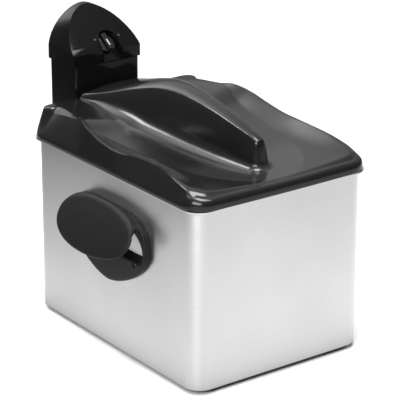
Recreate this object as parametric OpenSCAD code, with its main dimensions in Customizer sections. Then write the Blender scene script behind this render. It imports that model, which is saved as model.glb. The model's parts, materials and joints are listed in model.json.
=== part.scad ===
// Counter-top deep fryer with a lift-off lid, lift-out control head,
// lift-out oil container and hanging basket. Millimetres, +Z up, +Y to the rear.

/* [Housing] */
// Outer width of the steel housing
body_w = 234; // [228:1:238]
// Outer length of the steel housing
body_l = 315.5; // [312:0.5:318]
// Height of the housing's lower edge above the table
body_z0 = 5; // [5:0.5:6]
// Height of the housing's upper lip
body_z1 = 210.4; // [208:0.2:210.6]
// Corner radius of the housing
body_r = 20; // [18:1:24]
// Sheet thickness of the housing
body_t = 1.2; // [1:0.1:1.5]

/* [Lid] */
// Half width of the lid
lid_hw = 122.4; // [121:0.1:124]
// Half length of the lid
lid_hl = 163.2; // [162:0.1:163.2]
// Corner radius of the lid
lid_r = 28; // [24:1:32]
// Lower edge of the lid
lid_z0 = 214.4; // [214.4:0.1:215]
// Wall thickness of the lid
lid_t = 2.4; // [2.2:0.1:2.6]

/* [Container and basket] */
// Half width of the oil container inside
pot_hw = 102; // [98:1:103]
// Half length of the oil container inside
pot_hl = 142; // [140:1:143]
// Height of the container floor
pot_z0 = 32; // [28:1:33]
// Height of the basket floor
basket_z0 = 72; // [68:1:78]
// Window pitch of the basket mesh
mesh_pitch = 24; // [20:1:28]
// Bar width of the basket mesh
mesh_bar = 3; // [2:0.2:4]

/* [Control head] */
// Half width of the control head
head_hw = 46.2; // [45:0.1:47]
// Front face of the control head
head_y0 = 143.8; // [143:0.1:145]
// Rear face of the control head
head_y1 = 199.2; // [198:0.1:200]
// Joint between lower casing and cover
head_zs = 275.5; // [270:0.5:278]
// Height where the round hood springs
hood_z = 289.7; // [288:0.1:291]
// Radius of the round hood
hood_r = 47.2; // [46.8:0.1:47.6]
// Radius of the thermostat knob
knob_r = 11.6; // [10:0.1:12]

/* [Heating element] */
// Radius of the element tube
tube_r = 4; // [3:0.1:4.2]
// Height of the element plane
elem_z = 48; // [46:1:50]

/* [Side handles] */
// Half length of the handle base
grip_a = 75; // [70:1:78]
// Half height of the handle base
grip_b = 46; // [44:1:48]
// Height of the widest line of the handle base
grip_z = 137; // [136:1:139]
// Lean of the grip plate from upright
grip_lean = 29; // [27:1:31]

/* [Hidden] */
$fn = 48;
yc = -34;            // middle of the housing along Y
hy = body_l / 2;
hx = body_w / 2;

// ---------- shared shapes ----------
module rrect(w, l, r) {
  square([w - 2 * r, l], center = true);
  square([w, l - 2 * r], center = true);
  for (x = [-1, 1], y = [-1, 1]) translate([x * (w / 2 - r), y * (l / 2 - r)]) circle(r);
}
module slab(w, l, r, z0, z1, y = yc) translate([0, y, z0]) linear_extrude(z1 - z0) rrect(w, l, r);
module box(a, b) translate(a) cube([b[0] - a[0], b[1] - a[1], b[2] - a[2]]);
module zrod(x, y, z0, z1, r) translate([x, y, z0]) cylinder(h = z1 - z0, r = r);
module xrod(x0, x1, y, z, r) translate([x0, y, z]) rotate([0, 90, 0]) cylinder(h = x1 - x0, r = r);
module yrod(x, y0, y1, z, r) translate([x, y0, z]) rotate([-90, 0, 0]) cylinder(h = y1 - y0, r = r);
// the sloped face of the hood: x across, y up the slope, z out of it
module slope() translate([0, head_y0, hood_z]) rotate([45, 0, 0]) children();
module both_sides() { children(); mirror([1, 0, 0]) children(); }
// closed skin between two grids of points of the same size
module skin(top, bot) {
  n = len(top); m = len(top[0]);
  pts = concat([for (r = top) each r], [for (r = bot) each r]);
  o = n * m;
  polyhedron(points = pts, faces = concat(
    [for (i = [0:n-2], j = [0:m-2]) each [[i*m+j, (i+1)*m+j+1, i*m+j+1], [i*m+j, (i+1)*m+j, (i+1)*m+j+1]]],
    [for (i = [0:n-2], j = [0:m-2]) each [[o+i*m+j, o+i*m+j+1, o+(i+1)*m+j+1], [o+i*m+j, o+(i+1)*m+j+1, o+(i+1)*m+j]]],
    [for (j = [0:m-2]) each [[j, o+j+1, o+j], [j, j+1, o+j+1]]],
    [for (j = [0:m-2]) let(k = (n-1)*m+j) each [[k, o+k+1, k+1], [k, o+k, o+k+1]]],
    [for (i = [0:n-2]) let(k = i*m) each [[k, o+k+m, k+m], [k, o+k, o+k+m]]],
    [for (i = [0:n-2]) let(k = i*m+m-1) each [[k, o+k+m, o+k], [k, k+m, o+k+m]]]));
}

// ---------- housing ----------
module housing_shell() color([0.78, 0.78, 0.78]) difference() {
  union() {
    difference() {
      slab(body_w, body_l, body_r, body_z0, body_z1);
      slab(body_w - 2*body_t, body_l - 2*body_t, body_r - body_t, body_z0 - 1, body_z1 - body_t);
      slab(220, 301.5, 13, body_z1 - 5, body_z1 + 1);
    }
    // four tabs that take the base screws
    for (x = [-1, 1], y = [-142, 142]) intersection() {
      translate([x * 104.4, yc + y, 16.7]) cube([24, 14, 1.4], center = true);
      slab(body_w - 1, body_l - 1, body_r - 0.5, 15, 19);
    }
  }
  for (x = [-1, 1], y = [-142, 142]) zrod(x * 97, yc + y, 10, 20, 1.8);
  for (y = [-54, 54]) xrod(-130, 130, yc + y, 122.4, 2.2);
  for (x = [-34, 34]) yrod(x, 110, 140, 196, 2.1);
}
module base_tray() color([0.08, 0.08, 0.08]) difference() {
  union() {
    slab(214, body_l - 4, 16, 1.5, 5);
    slab(body_w - 3.2, body_l - 3.2, body_r - 1.6, 5, 7.5);
    difference() {
      slab(body_w - 3.2, body_l - 3.2, body_r - 1.6, 7, 16);
      slab(body_w - 8.2, body_l - 8.2, body_r - 4.1, 7, 17);
      for (x = [-1, 1], y = [-142, 142]) translate([x * 110, yc + y, 20]) cube([14, 15, 9], center = true);
    }
    for (x = [-1, 1], y = [-142, 142]) zrod(x * 97, yc + y, 7, 16, 5);
  }
  for (x = [-1, 1], y = [-142, 142]) { zrod(x * 97, yc + y, 0, 20, 1.8); zrod(x * 97, yc + y, 0, 4, 4); }
  for (x = [-1, 1], y = [-124, 124]) zrod(x * 98, yc + y, 0, 3.4, 9.1);
  // cooling slots
  for (i = [-4:4]) translate([i * 14, yc, 0]) cube([5, 120, 20], center = true);
}
module rubber_feet() color([0.05, 0.05, 0.05])
  for (x = [-1, 1], y = [-124, 124]) zrod(x * 98, yc + y, 0, 3.4, 9);
module base_screws() color([0.7, 0.7, 0.72])
  for (x = [-1, 1], y = [-142, 142]) difference() {
    union() { zrod(x * 97, yc + y, 1.7, 4, 3.6); zrod(x * 97, yc + y, 3.9, 17.2, 1.75); }
    translate([x * 97, yc + y, 1.7]) cube([4.6, 0.9, 1.6], center = true);
    translate([x * 97, yc + y, 1.7]) cube([0.9, 4.6, 1.6], center = true);
  }
module heat_shield() color([0.6, 0.6, 0.6]) difference() {
  slab(218, 300, 18, 17.4, 205);
  slab(216.4, 298.4, 17.2, 18.2, 206);
  slab(202, 284, 12, 17, 19);
  for (y = [-54, 54]) xrod(-130, 130, yc + y, 122.4, 6);
}

// ---------- side handles ----------
ca = cos(grip_lean);
sa = sin(grip_lean);
gd = 26.8;           // stand-off of the grip plate's middle
gz = 156.2;          // height of the grip plate's middle
ga = 70.2;           // half length of the grip plate
gh = 31.4;             // half height of the grip plate, along its slope
sy = 54;             // distance of the handle screws from the middle
sz = 122.4;          // height of the handle screws
function sgn_pow(v, e) = sign(v) * pow(abs(v), 2 / e);
// base outline: flat above its widest line, fuller below it; g = inset
function base_y(t, g) = (grip_a - g) * sgn_pow(cos(t), sin(t) > 0 ? 3.4 : 1.7);
function base_z(t, g) = (sin(t) > 0 ? grip_b - 3 : grip_b + 3.4) * (1 - g / grip_b) * sgn_pow(sin(t), sin(t) > 0 ? 3.4 : 1.7);
// point on the web between base and plate: s 0..1 outwards, t in degrees, k = depth below the skin
function web_pt(s, t, k) =
  let(tb = 22 + t * 136 / 180,
      bx = 3, by = base_y(tb, 2.4), bz = grip_z + base_z(tb, 2.4),
      px = gd - gh * sin(t) * sa + 1, py = (ga - 1.6) * cos(t), pz = gz + gh * 0.96 * sin(t) * ca,
      bulge = 2.2 * sin(180 * s))
  [bx + (px - bx) * s + bulge * 0.4 - k * 0.25, by + (py - by) * s, bz + (pz - bz) * s + bulge - k];
// outlines: height along -x, length along y
module base_outline(g) polygon([for (i = [0:59]) [-base_z(i * 6, g), base_y(i * 6, g)]]);
module oval(a, b) polygon([for (i = [0:59]) [b * sgn_pow(cos(i * 6), 2.2), a * sgn_pow(sin(i * 6), 2.2)]]);
module handle_shape() translate([hx, yc, 0]) difference() {
  union() {
    // ring and lower plate on the wall
    translate([0, 0, grip_z]) rotate([0, 90, 0]) linear_extrude(8) difference() {
      base_outline(0);
      intersection() {
        base_outline(6);
        translate([-80, -80]) square([80 + grip_z - 128, 160]);
      }
    }
    // leaning grip plate
    intersection() {
      translate([gd, 0, gz]) rotate([0, 90 - grip_lean, 0]) translate([0, 0, -2.6])
        linear_extrude(5.2) oval(ga, gh);
      box([0, -90, 80], [60, 90, 220]);
    }
    // web that joins them along the top
    skin([for (i = [0:5]) [for (j = [0:20]) web_pt(i / 5, 4 + j * 172 / 20, 0)]],
         [for (i = [0:5]) [for (j = [0:20]) web_pt(i / 5, 4 + j * 172 / 20, 4.2)]]);
  }
  for (y = [-sy, sy]) { xrod(-1, 10, y, sz, 2.2); xrod(3.4, 12, y, sz, 3.3); }
}
module side_handle_right() color([0.12, 0.12, 0.12]) handle_shape();
module side_handle_left() color([0.12, 0.12, 0.12]) mirror([1, 0, 0]) handle_shape();
module handle_clamp_plates() color([0.65, 0.65, 0.65]) both_sides() difference() {
  box([hx - body_t - 2, yc - 64, 115], [hx - body_t, yc + 64, 130]);
  for (y = [-sy, sy]) xrod(90, 130, yc + y, sz, 2.05);
}
module handle_screws() color([0.75, 0.75, 0.75]) both_sides() for (y = [-sy, sy]) difference() {
  union() { xrod(hx - 6.4, hx + 3.5, yc + y, sz, 2); xrod(hx + 3.4, hx + 5.6, yc + y, sz, 3); }
  translate([hx + 5.6, yc + y, sz]) cube([1.6, 4, 0.8], center = true);
  translate([hx + 5.6, yc + y, sz]) cube([1.6, 0.8, 4], center = true);
}

// ---------- guide for the control head ----------
module head_guide_bracket() color([0.08, 0.08, 0.08]) difference() {
  union() {
    box([-42, hy + yc, 142], [42, hy + yc + 2.5, 206]);
    for (x = [-1, 1]) translate([x * 35, hy + yc + 8.6, 174]) cube([8, 17.2, 64], center = true);
    box([-34, hy + yc, 142], [34, hy + yc + 17.2, 146]);
  }
  for (x = [-34, 34]) { yrod(x, 110, 150, 196, 2.1); yrod(x, hy + yc + 4, 150, 196, 4); }
}
module guide_screws() color([0.7, 0.7, 0.72]) for (x = [-34, 34]) union() {
  yrod(x, hy + yc - 7, hy + yc + 4.1, 196, 2);
  yrod(x, hy + yc + 4, hy + yc + 6.4, 196, 3.8);
}

// ---------- oil container ----------
module oil_container() color([0.7, 0.7, 0.7]) difference() {
  union() {
    slab(244, body_l + 10, 22, 212, 214);
    slab(2 * pot_hw + 2.4, 2 * pot_hl + 2.4, 25.2, pot_z0 - 1.2, 213);
  }
  slab(2 * pot_hw, 2 * pot_hl, 24, pot_z0, 215);
  // the rolled rim is hollow on its lower side
  difference() {
    slab(240.4, body_l + 6.4, 20.2, 211, 212.8);
    slab(2 * pot_hw + 6, 2 * pot_hl + 6, 27, 210, 213);
  }
}

// ---------- control head ----------
module head_plan(z0, z1, g) translate([0, (head_y0 + head_y1) / 2, z0]) linear_extrude(z1 - z0)
  rrect(2 * (head_hw - g), head_y1 - head_y0 - 2 * g, 6 - g);
module head_casing() color([0.04, 0.04, 0.04]) difference() {
  union() {
    head_plan(168, head_zs, 0);
    // tongue that runs between the rails of the guide
    box([-30.4, 130.7, 176], [30.4, head_y0 + 1, 205]);
  }
  difference() {
    head_plan(170.4, head_zs + 1, 2.4);
    for (x = [-1, 1], z = [183, 265]) translate([x * 38, head_y1 - 5, z]) cube([13, 6, 12], center = true);
  }
  box([-27, 133, 170], [27, head_y0 + 3, 202.6]);
  // rear opening
  box([-38, head_y1 - 2.4, 180], [38, head_y1 + 1, 268]);
  for (x = [-1, 1], z = [185, 263]) yrod(x * 34, 180, 201, z, 1.6);
  // element legs, sensor tubes, cord gland, reset button
  for (x = [-20, 20]) yrod(x, 140, 150, 222, 4.2);
  for (x = [-8, 8]) yrod(x, 140, 150, 222, 1.3);
  zrod(-25, 178, 160, 176, 7.05);
  zrod(24, 178, 160, 176, 3.05);
}
module hood_solid(g, z0) {
  translate([0, (head_y0 + head_y1) / 2, z0]) linear_extrude(hood_z - z0 + 0.01)
    rrect(2 * (hood_r - g), head_y1 - head_y0 - 2 * g, 6 - g);
  difference() {
    yrod(0, head_y0 + g, head_y1 - g, hood_z, hood_r - g);
    slope() translate([-60, -30, -g]) cube([120, 140, 60]);
    box([-60, 130, 200], [60, 220, hood_z]);
  }
}
// arch that is open down the slope, for the knob's pocket: r = radius, from h0 to h1 off the slope
module arch(r, h0, h1) slope() translate([7.5, 13.5, h0]) {
  cylinder(h = h1 - h0, r = r);
  translate([-r, -44, 0]) cube([2 * r, 44, h1 - h0]);
}
module head_cover() color([0.03, 0.03, 0.03]) difference() {
  hood_solid(0, head_zs);
  difference() {
    hood_solid(2.4, head_zs - 1);
    arch(14.6, -11.6, 8);
  }
  arch(12.8, -9.6, 12);
  slope() translate([7.5, 13.5, -20]) cylinder(h = 20, r = 5);
  slope() for (x = [-9.8, 23.8]) translate([x, 16.5, -10]) cylinder(h = 20, r = 1.55);
}
module rear_panel() color([0.06, 0.06, 0.06]) difference() {
  box([-37.7, head_y1 - 2.4, 180.3], [37.7, head_y1 - 0.6, 267.7]);
  for (x = [-1, 1], z = [185, 263]) yrod(x * 34, 180, 201, z, 1.6);
  for (i = [0:6]) box([-20, 190, 206 + i * 6], [20, 201, 208.4 + i * 6]);
}
module rear_panel_screws() color([0.7, 0.7, 0.72]) for (x = [-1, 1], z = [185, 263]) union() {
  yrod(x * 34, head_y1 - 9, head_y1 - 0.5, z, 1.5);
  yrod(x * 34, head_y1 - 0.6, head_y1 + 0, z, 3);
}
module element_bracket() color([0.72, 0.72, 0.72]) difference() {
  union() {
    box([-30, 95.5, 215], [30, head_y0, 217]);
    box([-30, 95.5, 58], [30, 97.5, 217]);
    box([-30, head_y0 - 2, 215], [30, head_y0, 232]);
  }
  for (x = [-20, 20]) yrod(x, 140, 150, 222, 4.2);
  for (x = [-8, 8]) yrod(x, 140, 150, 222, 1.3);
  for (i = [0:4]) box([-14, 90, 80 + i * 24], [14, 100, 94 + i * 24]);
  // room for the upper bends of the element
  for (x = [-20, 20]) box([x - 4.6, 94, 206], [x + 4.6, 99.5, 219]);
}
// quarter bend of a tube in the plane given by the children's frame
module bend(R, r, a) rotate_extrude(angle = a) translate([R, 0]) circle(r, $fn = 32);
module heating_element() color([0.45, 0.45, 0.47]) {
  r = tube_r;
  for (s = [-1, 1]) {
    yrod(s * 20, 102, 154, 222, r);
    // top bend, riser, lower bend
    translate([s * 20, 102, 210]) rotate([0, -90, 0]) rotate([0, 0, -90]) bend(12, r, 90);
    zrod(s * 20, 90, elem_z + 12, 210, r);
    translate([s * 20, 78, elem_z + 12]) rotate([0, -90, 0]) rotate([0, 0, 90]) bend(12, r, 90);
    yrod(s * 20, -128, 78, elem_z, r);
    translate([s * 35, -128, elem_z]) rotate([0, 0, 180]) bend(15, r, 180);
    yrod(s * 50, -128, 58, elem_z, r);
    translate([s * 62, 58, elem_z]) bend(12, r, 180);
    yrod(s * 74, -146, 58, elem_z, r);
  }
  translate([60, -146, elem_z]) rotate([0, 0, -90]) bend(14, r, 90);
  translate([-60, -146, elem_z]) rotate([0, 0, 180]) bend(14, r, 90);
  xrod(-60, 60, -160, elem_z, r);
}
module element_clips() color([0.66, 0.66, 0.66]) for (y = [-90, 30]) difference() {
  box([-80, y - 4, elem_z - 6], [80, y + 4, elem_z + 6]);
  for (x = [-74, -50, -20, 20, 50, 74]) yrod(x, y - 10, y + 10, elem_z, tube_r + 0.05);
}
module sensor_bulbs() color([0.72, 0.5, 0.35]) for (s = [-1, 1]) {
  y = s > 0 ? 70 : 60;
  xrod(s > 0 ? 0 : -60, s > 0 ? 60 : 0, y, 58, 3);
  xrod(s > 0 ? 0 : -8, s > 0 ? 8 : 0, y, 58, 1);
  translate([s * 8, y, 58]) sphere(1.5, $fn = 24);
  yrod(s * 8, y, 86, 58, 1);
  translate([s * 8, 86, 58]) sphere(1, $fn = 24);
  zrod(s * 8, 86, 58, 222, 1);
  translate([s * 8, 86, 222]) sphere(1, $fn = 24);
  yrod(s * 8, 86, 160, 222, 1);
}
module thermostat_body() color([0.75, 0.72, 0.65]) slope() difference() {
  union() {
    translate([7.5 - 15, 1, -29]) cube([30, 26, 17]);
    translate([7.5, 13.5, -12.1]) cylinder(h = 2.3, r = 4.8);
  }
  translate([7.5, 13.5, -25]) cylinder(h = 30, r = 3.05);
}
module safety_cutout() color([0.2, 0.2, 0.2]) difference() {
  box([10, 164, 178], [38, 188, 200]);
  zrod(24, 178, 170, 190, 3.05);
}
module micro_switch() color([0.15, 0.15, 0.15]) box([-42, 148, 171], [-22, 158, 186]);
module terminal_block() color([0.85, 0.85, 0.8]) difference() {
  box([-24, 150, 236], [24, 166, 252]);
  for (i = [-2:2]) zrod(i * 9, 158, 244, 260, 2.4);
}
module pilot_lamps() color([0.8, 0.3, 0.2]) slope() for (x = [-9.8, 23.8])
  translate([x, 16.5, -8]) cylinder(h = 8.6, r = 1.5);
module knob_bezel() color([0.12, 0.12, 0.12]) {
  slope() translate([7.5, 0, 0]) linear_extrude(1) difference() {
    union() { translate([0, 13.5]) circle(14.8); translate([-14.8, 0.6]) square([29.6, 12.9]); }
    union() { translate([0, 13.5]) circle(12.8); translate([-12.8, -1]) square([25.6, 14.5]); }
  }
  for (s = [-1, 1]) translate([7.5 + s * 13.8, head_y0 - 0.45, 282.8]) cube([2, 0.9, 12.8], center = true);
}
module cord_gland() color([0.06, 0.06, 0.06]) translate([-25, 178, 0]) difference() {
  union() {
    translate([0, 0, 160]) cylinder(h = 8, r = 9);
    translate([0, 0, 167.5]) cylinder(h = 6.5, r = 7);
  }
  translate([0, 0, 159]) cylinder(h = 16, r = 4);
}
// the knob stands at its off mark, turned a little from straight down
module knob_frame() slope() translate([7.5, 13.5, 0]) rotate([0, 0, 8]) children();
module control_knob() color([0.05, 0.05, 0.05]) knob_frame() difference() {
  union() {
    translate([0, 0, -9.2]) cylinder(h = 2.6, r = knob_r);
    translate([0, 0, -4.6]) cube([6.4, 2 * knob_r - 1.6, 5.2], center = true);
  }
  translate([0, 0, -10]) cylinder(h = 6, r = 3);
  translate([0, -2, -2]) cube([1.8, 8.4, 1.2], center = true);
}
module knob_pointer() color([0.95, 0.95, 0.95]) knob_frame()
  translate([0, -2, -2.25]) cube([1.8, 8.4, 0.7], center = true);
module thermostat_shaft() color([0.8, 0.75, 0.6]) slope() translate([7.5, 13.5, -22]) cylinder(h = 18, r = 3);
module reset_button() color([0.7, 0.12, 0.1]) union() {
  zrod(24, 178, 165, 186, 3);
}

// ---------- lid ----------
// rails of the lid's surface along Y: [Y, crown height, crown half width, foot half width,
// foot height, floor edge half width, floor edge height, crest half width, crest height]
rails = [
  [-205, 250,  7, 13, 227, 0,   227,   110,   227.6],
  [-180, 254,  7, 12, 227, 30,  227.2, 112.5, 231.5],
  [-160, 259,  7, 13, 227, 52,  227.4, 113.5, 236],
  [-135, 265.8, 9, 17, 227.5, 66, 227.6, 111.5, 240.8],
  [-105, 273.4, 12, 21, 228.5, 74, 228.2, 110, 243.4],
  [-75,  279.4, 14, 25, 229.5, 82, 229, 112,   243.2],
  [-45,  284, 15.5, 28, 231, 88, 231, 117, 241.6],
  [-15,  286.5, 17.5, 32, 233.5, 92, 234, 118, 244.8],
  [15,   285.5, 21, 38, 235.5, 97, 240, 115.4, 251.6],
  [40,   280.5, 27, 45, 238, 102, 251, 109.5, 255.4],
  [60,   275, 33, 51, 240.5, 98, 251.6, 106.5, 252],
  [90,   266, 42, 58, 244, 86, 250, 104, 246.2],
  [112,  260, 48, 62, 244.5, 76, 247.5, 101.4, 242],
  [135,  255, 51, 65, 243, 68, 244, 98, 237.6]];
function seg(y, i = 0) = i >= len(rails) - 2 || y < rails[i+1][0] ? i : seg(y, i + 1);
// smooth interpolation through the rails (Catmull-Rom on uneven steps)
function rail(y, c) =
  let(i = seg(y), a = rails[i], b = rails[i+1],
      p = rails[max(0, i-1)], q = rails[min(len(rails)-1, i+2)],
      h = b[0] - a[0], t = (y - a[0]) / h,
      ma = i > 0 ? (b[c] - p[c]) / (b[0] - p[0]) * h : b[c] - a[c],
      mb = i < len(rails) - 2 ? (q[c] - a[c]) / (q[0] - a[0]) * h : b[c] - a[c])
  (2*t*t*t - 3*t*t + 1) * a[c] + (t*t*t - 2*t*t + t) * ma + (-2*t*t*t + 3*t*t) * b[c] + (t*t*t - t*t) * mb;
function clamp01(t) = max(0, min(1, t));
function ease(t) = let(k = clamp01(t)) k * k * (3 - 2 * k);
function smin(a, b, k) = let(h = max(k - abs(a - b), 0) / k) min(a, b) - h * h * k / 4;
// height of the inner surface: ridge, floor and rise to the crest
function lid_body(x, y) =
  let(u = abs(x), zr = rail(y, 1), wt = rail(y, 2), wf = rail(y, 3), zf = rail(y, 4),
      wi = max(rail(y, 5), 1), zi = rail(y, 6), xc = rail(y, 7), zc = rail(y, 8),
      nose = ease((y + 160.5) / 8.5),
      floorz = u < wi ? zf + (zi - zf) * ease((u - wf) / max(wi - wf, 1))
                      : zi + (zc - zi) * pow(clamp01((u - wi) / (xc - wi)), 1.15),
      t = (u - wt * 0.86) / (wf - wt * 0.86),
      crown = zr - 2.6 * pow(min(u / wt, 1.2), 2.4))
  floorz + max(crown - floorz, 0) * (1 - ease(t)) * nose;
// cap: the side flanks, the rounded front edge and the rear wall
function lid_cap(x, y) =
  let(u = abs(x), v = y - yc,
      qx = u - (lid_hw - lid_r), qy = abs(v) - (lid_hl - lid_r),
      l = norm([max(qx, 0), max(qy, 0)]),
      d = max(lid_r - l - min(max(qx, qy), 0), 0),
      wx = qx > 0 && qy > 0 ? pow(qx / l, 2) : (qx > qy ? 1 : 0),
      xc = rail(y, 7), zc = rail(y, 8),
      dcs = max(lid_hw - xc, 3.4), front = v < 0,
      dc = wx * dcs + (1 - wx) * (front ? 8 : 5),
      zt = wx * zc + (1 - wx) * (front ? 227.4 : 252),
      rnd = front ? max(1 - wx, clamp01((-y - 165) / 20)) : (1 - wx) * 0.9,
      t = min(d / dc, 1),
      q = t * (1 - rnd) + rnd * sqrt(max(1 - (1 - t) * (1 - t), 0)))
  219 + (zt - 219) * q + max(d - dc, 0) * 3;
function lid_top(x, y) = smin(lid_body(x, y), lid_cap(x, y), 2.5);
// half width of the lid's outline, inset by g
function lid_w(y, g) = let(b = lid_hl - g, r = lid_r - g, v = min(abs(y - yc), b), e = v - (b - r))
  lid_hw - g - r + (e > 0 ? sqrt(max(r * r - e * e, 0)) : r);
// rows along Y, closer together at the rounded ends
rows = concat([for (a = [0:12:84]) yc - lid_hl + lid_r * (1 - cos(a))],
  [for (i = [1:17]) yc - lid_hl + lid_r + i * (2 * (lid_hl - lid_r)) / 18],
  [for (a = [84:-12:0]) yc + lid_hl - lid_r * (1 - cos(a))]);
cols = [for (j = [-16:16]) let(t = j / 16) t * (1.25 - 0.25 * t * t)];
function row_in(y, g) = yc + (y - yc) * (lid_hl - g) / lid_hl;
function low_top(x, y, k) = min(lid_top(x, y), lid_top(x + k, y), lid_top(x - k, y), lid_top(x, min(y + k, yc + lid_hl)), lid_top(x, max(y - k, yc - lid_hl)));
// the front edge bows out a little
function bow(x, y) = y - 2 * (1 - pow(x / lid_hw, 2)) * pow(clamp01((-y - 60) / 137.2), 2);
module lid_shell() color([0.1, 0.1, 0.1]) difference() {
  skin([for (y = rows) [for (c = cols) let(x = c * lid_w(y, 0)) [x, bow(x, y), max(lid_top(x, y), 218)]]],
       [for (y = rows) [for (c = cols) let(x = c * lid_w(y, 0)) [x, bow(x, y), lid_z0]]]);
  skin([for (y = rows) [for (c = cols) let(yy = row_in(y, lid_t), x = c * lid_w(yy, lid_t)) [x, bow(x, yy), max(low_top(x, yy, 2) - lid_t, 217)]]],
       [for (y = rows) [for (c = cols) let(yy = row_in(y, lid_t), x = c * lid_w(yy, lid_t)) [x, bow(x, yy), lid_z0 - 1]]]);
  // notch over the element bracket
  box([-36, 100, lid_z0 - 2], [36, 140, 230]);
}
module lid_ring(g, z0, z1) translate([0, yc, z0]) linear_extrude(z1 - z0)
  rrect(2 * (lid_hw - g), 2 * (lid_hl - g), lid_r - g);
module lid_inner_panel() color([0.7, 0.7, 0.7]) difference() {
  lid_ring(lid_t + 0.4, 215.6, 216.8);
  box([-36, 76, 210], [36, 140, 230]);
  for (i = [-3:3]) translate([i * 8, -64, 216]) cube([4, 84, 6], center = true);
  for (x = [-1, 1], y = [-150, -34, 82]) zrod(x * 98, y, 210, 220, 1.7);
}
module lid_seal() color([0.2, 0.2, 0.2]) difference() {
  lid_ring(10, 214.3, 215.6);
  lid_ring(15, 214, 216);
  box([-38, 76, 210], [38, 140, 230]);
}
module grease_filter() color([0.8, 0.8, 0.78]) box([-32, -112, 216.8], [32, -16, 220.4]);
module odour_filter() color([0.25, 0.25, 0.25]) box([-32, -112, 220.4], [32, -16, 224.2]);
module filter_grille() color([0.7, 0.7, 0.7]) difference() {
  box([-36, -116, 214.2], [36, -12, 215.6]);
  for (i = [-3:3]) translate([i * 9, -64, 215]) cube([5, 88, 6], center = true);
}
module lid_screws() color([0.7, 0.7, 0.72]) for (x = [-1, 1], y = [-150, -34, 82]) union() {
  zrod(x * 98, y, 215.5, 222, 1.65);
  zrod(x * 98, y, 214.2, 215.6, 3);
}

// ---------- basket ----------
by0 = -162; by1 = 74; bym = (by0 + by1) / 2; bhl = (by1 - by0) / 2; bhw = 88;
module mesh_windows(w, h) let(nx = floor((w - 4) / mesh_pitch), ny = floor((h - 4) / mesh_pitch))
  for (i = [0:nx-1], j = [0:ny-1])
    translate([(i - (nx - 1) / 2) * mesh_pitch, (j - (ny - 1) / 2) * mesh_pitch])
      square(mesh_pitch - mesh_bar, center = true);
// the mesh basket is cut into a floor, four walls and its corners, which meet face to face
module basket_floor() color([0.75, 0.75, 0.75]) difference() {
  slab(2 * bhw - 5, 2 * bhl - 5, 16, basket_z0, basket_z0 + 1.7, bym);
  translate([0, bym, basket_z0 - 1]) linear_extrude(5) mesh_windows(2 * bhw - 26, 2 * bhl - 26);
}
// upright panel of mesh w long and h high, standing on the XZ plane
module mesh_wall(w, h) translate([0, 0.85, 0]) rotate([90, 0, 0]) linear_extrude(1.7) difference() {
  translate([-w / 2, 0]) square([w, h]);
  translate([0, h / 2]) mesh_windows(w, h);
}
// end wall between the corners: s is -1 for the front and 1 for the back
module basket_end(s) color([0.75, 0.75, 0.75])
  translate([0, bym + s * (bhl - 3.35), basket_z0 + 1.7]) mesh_wall(2 * bhw - 37, 198 - basket_z0 - 1.7);
// side wall between the corners: s is -1 for the left and 1 for the right
module basket_side(s) color([0.75, 0.75, 0.75])
  translate([s * (bhw - 3.35), bym, basket_z0 + 1.7]) rotate([0, 0, 90])
    mesh_wall(2 * bhl - 37, 198 - basket_z0 - 1.7);
// the four rounded corners between the walls
module basket_corners() color([0.75, 0.75, 0.75]) for (s = [-1, 1], e = [-1, 1])
  translate([s * (bhw - 18.5), bym + e * (bhl - 18.5), basket_z0 + 1.7])
    linear_extrude(198 - basket_z0 - 1.7) intersection() {
      difference() { circle(16); circle(14.3); }
      translate([s > 0 ? 0 : -20, e > 0 ? 0 : -20]) square(20);
    }
module basket_rim() color([0.78, 0.78, 0.78]) translate([0, bym, 198]) {
  R = 18; r = 2.5; a = bhw - R; b = bhl - R;
  for (s = [-1, 1]) { yrod(s * bhw, -b, b, 0, r); xrod(-a, a, s * bhl, 0, r); }
  for (c = [[1, 1, 0], [-1, 1, 90], [-1, -1, 180], [1, -1, 270]])
    translate([c[0] * a, c[1] * b, 0]) rotate([0, 0, c[2]]) bend(R, r, 90);
}
pin_y = -150; pin_z = 199;
module basket_bracket() color([0.72, 0.72, 0.72]) difference() {
  union() {
    box([-24, by0 + 4.2, 172], [24, by0 + 5.4, 190]);
    for (s = [-1, 1]) translate([s * 22, 0, 0]) box([-0.8, by0 + 4.2, 180], [0.8, -145, 204]);
  }
  xrod(-30, 30, pin_y, pin_z, 2);
}
module handle_pin() color([0.7, 0.7, 0.7]) xrod(-25, 25, pin_y, pin_z, 2);
module basket_handle() color([0.78, 0.78, 0.78]) difference() {
  union() {
    for (s = [-1, 1]) {
      xrod(s * 17 - 2.2, s * 17 + 2.2, pin_y, pin_z, 4.4);
      yrod(s * 17, pin_y + 2.4, -40, pin_z, 2);
    }
    xrod(-17, 17, -84, pin_z, 1.7);
  }
  xrod(-30, 30, pin_y, pin_z, 2.06);
}
module handle_grip() color([0.1, 0.1, 0.1]) difference() {
  union() {
    box([-17, -74, pin_z - 6], [17, -26, pin_z + 6]);
    for (s = [-1, 1]) yrod(s * 17, -74, -26, pin_z, 6);
  }
  for (s = [-1, 1]) yrod(s * 17, -80, -40, pin_z, 2.04);
}

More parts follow.
